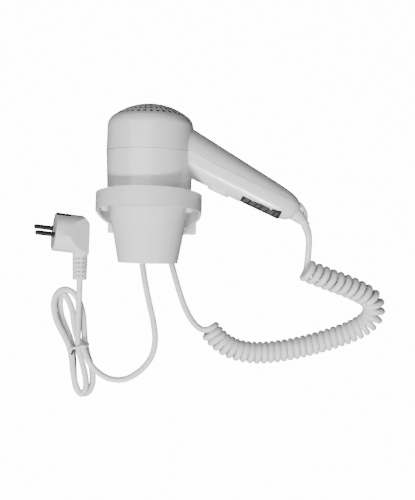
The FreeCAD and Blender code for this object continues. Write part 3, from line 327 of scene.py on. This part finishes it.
def route_line(points):
    """The points that a route's NURBS spline runs through, in metres."""
    curve = link_curve("route", points)
    bpy.context.view_layer.update()
    mesh = bpy.data.meshes.new_from_object(curve)
    line = [vertex.co.copy() for vertex in mesh.vertices]
    bpy.data.objects.remove(curve)
    return line


def even_steps(line, step):
    """The line again, at even steps."""
    spots, left = [line[0]], step
    for a, b in zip(line, line[1:]):
        run = (b - a).length
        while run and left <= run:
            spots.append(a.lerp(b, left / run))
            a, run, left = spots[-1], run - left, step
        left -= run
    if (line[-1] - spots[-1]).length > step * 0.3:
        spots.append(line[-1])
    return spots


def frames_along(line):
    """A pair of directions square to the line at each point, turning as little as they can."""
    ways = [(b - a).normalized() for a, b in zip(line, line[1:])]
    ways.append(ways[-1])
    side = ways[0].orthogonal().normalized()
    frames = []
    for before, way in zip([ways[0]] + ways, ways):
        side = before.rotation_difference(way) @ side
        side = (side - way * side.dot(way)).normalized()
        frames.append((side, way.cross(side)))
    return frames


def tube(name, line, radius, sides=14):
    """A closed round tube along a line; its radius is a number, or one for each point."""
    radii = radius if isinstance(radius, list) else [radius] * len(line)
    mesh = bpy.data.meshes.new(name)
    vertices, faces = [], []
    for spot, reach, (u, v) in zip(line, radii, frames_along(line)):
        for k in range(sides):
            turn = 2 * math.pi * k / sides
            vertices.append(spot + (u * math.cos(turn) + v * math.sin(turn)) * reach * MM)
    for ring in range(len(line) - 1):
        for k in range(sides):
            a, b = ring * sides + k, ring * sides + (k + 1) % sides
            faces.append((a, b, b + sides, a + sides))
    faces.append(tuple(reversed(range(sides))))
    faces.append(tuple(range(len(vertices) - sides, len(vertices))))
    mesh.from_pydata(vertices, [], faces)
    mesh.shade_smooth()
    for face in mesh.polygons[-2:]:
        face.use_smooth = False
    for edge in mesh.edges:
        low, high = sorted(edge.vertices)
        edge.use_edge_sharp = high < sides or low >= len(vertices) - sides
    piece = bpy.data.objects.new(name, mesh)
    scene.collection.objects.link(piece)
    return piece


CORD = 3.1                      # radius of both cords, in millimetres
BASE_EXIT_Z = -20.9
MAINS_ROUTE = [
    (-11.6, -12, BASE_EXIT_Z), (-11.6, -12, -30), (-9.6, -12, -47), (-6.0, -12, -68),
    (-1.6, -11, -88), (3.2, -10, -107), (5.6, -9, -126), (2.2, -8, -143), (-8.5, -8, -156.5),
    (-24, -8, -166.5), (-40, -9, -166), (-51, -10, -159.6), (-58.5, -14.5, -151),
    # up through the tie, and round the smaller upper loop
    (-62.6, -15.5, -142), (-66.5, -14.5, -133), (-73.5, -10.5, -124), (-76.8, -8, -112),
    (-78.6, -7, -98), (-83.5, -7, -86), (-89, -7, -79), (-92.2, -7, -88), (-90.6, -7, -102),
    (-85.5, -7, -114), (-79.5, -7, -128),
    # down through the tie, round the lower loop and up again
    (-77.3, -7, -142), (-76.5, -7, -158), (-75.4, -7, -172), (-70.5, -7, -181.5),
    (-61.5, -7, -181), (-56.6, -7, -171), (-58, -7, -155), (-62.5, -7, -143),
    (-65.8, -7, -130), (-67.2, -7, -112), (-68.6, -7.5, -97),
    # round the larger upper loop, in front of the smaller one
    (-73.5, -9.5, -84), (-80.5, -12, -76.5), (-89.5, -14, -75.5), (-95.8, -15, -83.5),
    (-96.6, -15.2, -96), (-92.6, -15.2, -109), (-86.5, -15.2, -120), (-80.4, -15.2, -131),
    (-77.2, -15.2, -144), (-76, -15.2, -158), (-73, -15.2, -172), (-67.3, -15.2, -182),
    # and up through the tie to the plug
    (-62.2, -15.2, -175), (-63.2, -15.2, -162), (-67.4, -15.2, -147), (-71.8, -15.3, -133),
    (-71.8, -15.3, -115), (-71.4, -15.4, -98), (-71, -17, -84), (-70.3, -20, -75),
    (-70.3, -20, -65.6)]
LEAD_LOWER = [
    (14.4, -12, BASE_EXIT_Z), (14.4, -12, -29), (18.2, -12.5, -42), (23.2, -13.5, -59),
    (28.4, -14.5, -76), (35.0, -16, -93), (43.0, -19, -106), (51.5, -22.5, -112.5)]
COIL_AXIS = [
    (58.6, -16.5, -111.4), (67.9, -16.8, -122.8), (83, -17, -131.4), (103, -17.5, -134.8),
    (124, -18, -133), (146, -19, -128.6), (168, -20.5, -122.2), (188, -23, -114.8),
    (205.5, -26.5, -106.8), (219.4, -31.5, -94.5), (217.5, -37, -77.5), (203, -42.5, -69.5),
    (187, -47.5, -63), (170, -53, -57.4), (148, -59, -49)]
LEAD_UPPER = [
    (149.8, -51.5, -50), (150.5, -52.5, -42), (150.8, -56, -32), (150.4, -61.5, -22),
    (149.2, -64, -14.6), (146.6, -64, -8.1), (144.4, -64, -4.6)]


def mains_lead():
    mains = link_curve("mains_lead", MAINS_ROUTE, CORD)
    finish_piece(mains, "mains_white", "holder")
    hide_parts("mains_cord_run", "mains_hank", "mains_cord_tail")
    return mains


PITCH = 6.35 * MM               # from one turn of the curly lead to the next
COIL_RADIUS = 8.2 * MM          # of the wire's centreline
TURN_POINTS = 16                # control points in each turn
COIL_HAND = -1                  # a left-hand helix
OPEN_FROM, OPEN_OVER = 0.62, 0.2    # where the turns open out, as shares of the coil's length
OPEN_BY = 0.25                  # how much wider the pitch is there
LAST_TURN = 0.25                # the coil ends a quarter turn on from its front
LEAD_STEP = PITCH / 7           # between the rings of the lead's mesh


def helix_points():
    """The curly stretch: turns round the coil's own axis, from its front to its underside.
    They open out where the lead hangs from the handle."""
    axis = even_steps(route_line(COIL_AXIS), PITCH / TURN_POINTS)
    turns = [0.0]
    for i in range(1, len(axis)):
        hang = min(1, max(0, (i / len(axis) - OPEN_FROM) / OPEN_OVER))
        turns.append(turns[-1] + 1 / (TURN_POINTS * (1 + OPEN_BY * hang)))
    stretch = (math.floor(turns[-1]) + LAST_TURN) / turns[-1]
    spots = []
    for i, spot in enumerate(axis):
        ahead = axis[min(i + 1, len(axis) - 1)] - axis[max(i - 1, 0)]
        front = Vector((0, -1, 0))
        front = (front - ahead * front.dot(ahead) / ahead.length_squared).normalized()
        side = ahead.normalized().cross(front)
        turn = COIL_HAND * 2 * math.pi * turns[i] * stretch
        spots.append(spot + (front * math.cos(turn) + side * math.sin(turn)) * COIL_RADIUS)
    return [tuple(spot / MM) for spot in spots]


def curly_leads():
    """The curly lead as two tubes that meet at the far end of its bend: the lower one
    stays with the holder, and the upper one is left without a body."""
    path = even_steps(route_line(LEAD_LOWER + helix_points() + LEAD_UPPER), LEAD_STEP)
    middle = max(range(len(path)), key=lambda i: path[i].x)
    lower = tube("curly_lead_lower", path[:middle + 1], CORD)
    upper = tube("curly_lead_upper", path[middle:], CORD)
    finish_piece(lower, "lead_white", "holder")
    finish_piece(upper, "lead_white")
    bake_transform(upper)
    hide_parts("lead_tail_base", "lead_coil")
    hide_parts("lead_tail_handle")


GROOVE = 0.35                   # depth of a sleeve's grooves, in millimetres


def sleeve(name, line, start, end, slot, body, ribs=False):
    """A tapered cord guard along a line, with grooves round it if it has ribs."""
    radii = []
    for i in range(len(line)):
        part = i / (len(line) - 1)
        grooved = ribs and 0.1 < part < 0.9 and i % 4 == 0
        radii.append(start + (end - start) * part - (GROOVE if grooved else 0))
    return finish_piece(tube(name, line, radii, 20), slot, body)


# ---------------------------------------------------------------- intake, tie and switches

LOOP_THICK = 1.9                # radius of the hanging loop's round section
LOOP_ROUTE = [(134.5, -64, 15.4), (138.6, -64, 13.7), (142.6, -64, 10.9), (145.5, -64, 6.3),
              (146.8, -64, 1.4), (146.6, -64, -2.6), (144.8, -64, -5.4)]


def clear_loop():
    """The soft hanging loop, which bows out from the handle's tip to its cord guard."""
    loop = tube("clear_loop", even_steps(route_line(LOOP_ROUTE), 0.8 * MM), LOOP_THICK, 16)
    finish_piece(loop, "loop_clear", "dryer")
    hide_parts("hanging_loop")


HOLES_IN_RING = (1, 6, 12, 24, 24, 36, 36)
INTAKE_PITCH, INTAKE_HOLE = 5.47, 1.75
DOME_RADIUS = 58.0
CUP_CLEAR = 0.03                # between a hole's wall and its cup of painted shade
CUP_TOP, CUP_DEEP = 0.28, 1.9   # of the cup's rim and floor, below the dome
AXIS_Y = -64.0                  # of the barrel


def paint_intake_shade():
    """Painted shade in each hole of the intake: small dark cups that stand for the holes' depth.
    """
    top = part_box("rear_shell")[1][2] / MM

    def dome(x, y):
        return top - DOME_RADIUS + math.sqrt(DOME_RADIUS ** 2 - x * x - y * y)

    vertices, faces, sides = [], [], 12
    reach = INTAKE_HOLE - CUP_CLEAR
    for ring, count in enumerate(HOLES_IN_RING):
        for step in range(count):
            angle = 2 * math.pi * (step + 0.5) / count
            x0, y0 = (ring * INTAKE_PITCH * f(angle) for f in (math.cos, math.sin))
            first = len(vertices)
            for low in (False, True):
                for k in range(sides):
                    turn = 2 * math.pi * k / sides
                    x, y = x0 + reach * math.cos(turn), y0 + reach * math.sin(turn)
                    z = dome(x0, y0) - CUP_DEEP if low else dome(x, y) - CUP_TOP
                    vertices.append(mm(x, y + AXIS_Y, z))
            for k in range(sides):
                a, b = first + k, first + (k + 1) % sides
                faces.append((a, a + sides, b + sides, b))
            faces.append(tuple(first + sides + k for k in range(sides)))
    mesh = bpy.data.meshes.new("intake_painted_shade")
    mesh.from_pydata(vertices, [], faces)
    piece = bpy.data.objects.new("intake_painted_shade", mesh)
    scene.collection.objects.link(piece)
    # the cups take the screen's dark material as painted shade in the holes
    return finish_piece(piece, "screen_mesh", "dryer")


def ribbon(name, line, wide, thick):
    """A flat band, its width along Z, round a closed line."""
    vertices, faces, count = [], [], len(line)
    for i, spot in enumerate(line):
        ahead = line[(i + 1) % count] - line[i - 1]
        out = ahead.cross(Vector((0, 0, 1))).normalized()
        for across, up in ((-1, -1), (1, -1), (1, 1), (-1, 1)):
            bulge = 1.0 if across > 0 else 0.6
            vertices.append(spot + (out * across * thick / 2 * bulge
                                    + Vector((0, 0, up * wide / 2))) * MM)
    for i in range(count):
        a, b = 4 * i, 4 * ((i + 1) % count)
        faces += [(a + k, a + (k + 1) % 4, b + (k + 1) % 4, b + k) for k in range(4)]
    piece = new_piece(name, vertices, faces)
    round_edges(piece, 0.25)
    return piece


TIE_WIDE, TIE_THICK = 2.3, 1.0  # of the tie's band, in millimetres
TIE_POINTS = 56                 # round its loop
TIE_SQUARE = 0.62               # 1 makes the loop an ellipse, and 0 a rectangle
TIE_SLOPE = 0.22                # how far the loop rises for each metre to the right
TWIST_POINTS, TWIST_TURN, TWIST_DROP = 17, 0.62, 0.34   # of each twisted wire end
TWIST_REACH, TWIST_OPENS, TWIST_FLARE = 0.6, 12, 0.18   # its ends part from the 12th point
TWIST_RADIUS = 0.5


def twist_tie():
    """A plastic-coated wire tie, drawn tight round the hank and twisted at the front."""
    low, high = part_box("cord_tie")
    centre = (Vector(low) + Vector(high)) / 2
    half_x = (high[0] - low[0]) / 2 - 1.6 * MM
    half_y = (high[1] - low[1]) / 2 - 0.8 * MM
    loop = []
    for k in range(TIE_POINTS):
        turn = 2 * math.pi * k / TIE_POINTS
        c, s = math.cos(turn), math.sin(turn)
        x = math.copysign(abs(c) ** TIE_SQUARE, c) * half_x
        y = math.copysign(abs(s) ** TIE_SQUARE, s) * half_y
        loop.append(centre + Vector((x, y, TIE_SLOPE * x + 0.4 * MM * math.sin(3 * turn))))
    tie = ribbon("twist_tie", loop, TIE_WIDE, TIE_THICK)
    finish_piece(tie, "tie_white", "holder")
    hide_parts("cord_tie")
    knot = centre + mm(-3.0, -0.2, -1.2) - Vector((0, half_y, 0))
    for end, sign in enumerate((1, -1)):
        line = []
        for i in range(TWIST_POINTS):
            turn = sign * math.pi / 2 + i * TWIST_TURN
            drop = TWIST_DROP * i
            spread = TWIST_REACH + TWIST_FLARE * max(0, i - TWIST_OPENS)
            line.append(knot + mm(spread * math.cos(turn) - 0.4 * drop,
                                  -0.2 + 0.5 * math.sin(turn), -drop))
        finish_piece(tube("tie_twist_%d" % end, line, TWIST_RADIUS, 8), "switch_case", "holder")


SOLE_ANGLE = math.radians(24.0)     # the handle's underside slopes down to the right
SOLE_SPOT = (84.4, AXIS_Y, 13.7)    # where the switch bezel starts on it
PADS = ((1.6, 6.4), (7.8, 13.0), (14.4, 18.0), (19.4, 24.6), (26.0, 31.2), (32.6, 35.4))
PAD_LOW, PAD_HIGH, PAD_LEAN = 1.5, 4.9, 2.2
PAD_SUNK, PAD_PROUD = 0.4, 0.25     # of a pad, from the bezel's side


def on_sole(p, y, q):
    """A point in the frame of the handle's underside: along it, across it, and into it."""
    return mm(SOLE_SPOT[0] + p * math.cos(SOLE_ANGLE) + q * math.sin(SOLE_ANGLE),
              SOLE_SPOT[1] + y,
              SOLE_SPOT[2] - p * math.sin(SOLE_ANGLE) + q * math.cos(SOLE_ANGLE))


def switch_pads():
    """Raised grip pads on both sides of the switch bezel, with dark gaps between."""
    low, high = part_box("switch_bezel")
    half = (high[1] - low[1]) / 2 / MM
    vertices, faces = [], []
    for side in (-1, 1):
        for start, end in PADS:
            first = len(vertices)
            for y in (half - PAD_SUNK, half + PAD_PROUD):
                for p, q in ((start, PAD_LOW), (end, PAD_LOW),
                             (end + PAD_LEAN, PAD_HIGH), (start + PAD_LEAN, PAD_HIGH)):
                    vertices.append(on_sole(p, side * y, q))
            faces += [tuple(first + k for k in (0, 1, 2, 3)),
                      tuple(first + k for k in (7, 6, 5, 4))]
            faces += [tuple(first + k for k in (i, 4 + i, 4 + (i + 1) % 4, (i + 1) % 4))
                      for i in range(4)]
    piece = new_piece("switch_pads", vertices, faces)
    round_edges(piece, 0.2)
    return finish_piece(piece, "rocker_grey", "dryer")


# ---------------------------------------------------------------- the scene

make_camera()
make_light()
make_backdrop()
dress_nodes()
mains = mains_lead()
curly_leads()
for name in ("front_shell", "rear_shell", "holder_body", "cradle_insert", "plug_body",
             "switch_bezel", "speed_rocker", "heat_rocker", "power_button",
             "strain_relief", "mains_grommet", "lead_grommet", "plug_pins", "earth_clips",
             "outlet_grille", "shell_screws", "cradle_screws", "cover_screws", "wall_plate"):
    skin(name)
clear_loop()
paint_intake_shade()
twist_tie()
switch_pads()
for name, route in (("mains_sleeve", MAINS_ROUTE), ("lead_sleeve", LEAD_LOWER)):
    start = even_steps(route_line(route), MM)[:23]
    sleeve(name, start, 4.7, 3.3, "grommet_white", "holder", ribs=True)
handle_end = even_steps(list(reversed(route_line(LEAD_UPPER))), MM)[3:17]
sleeve("handle_sleeve", handle_end, 3.9, 3.2, "guard_white", "dryer")
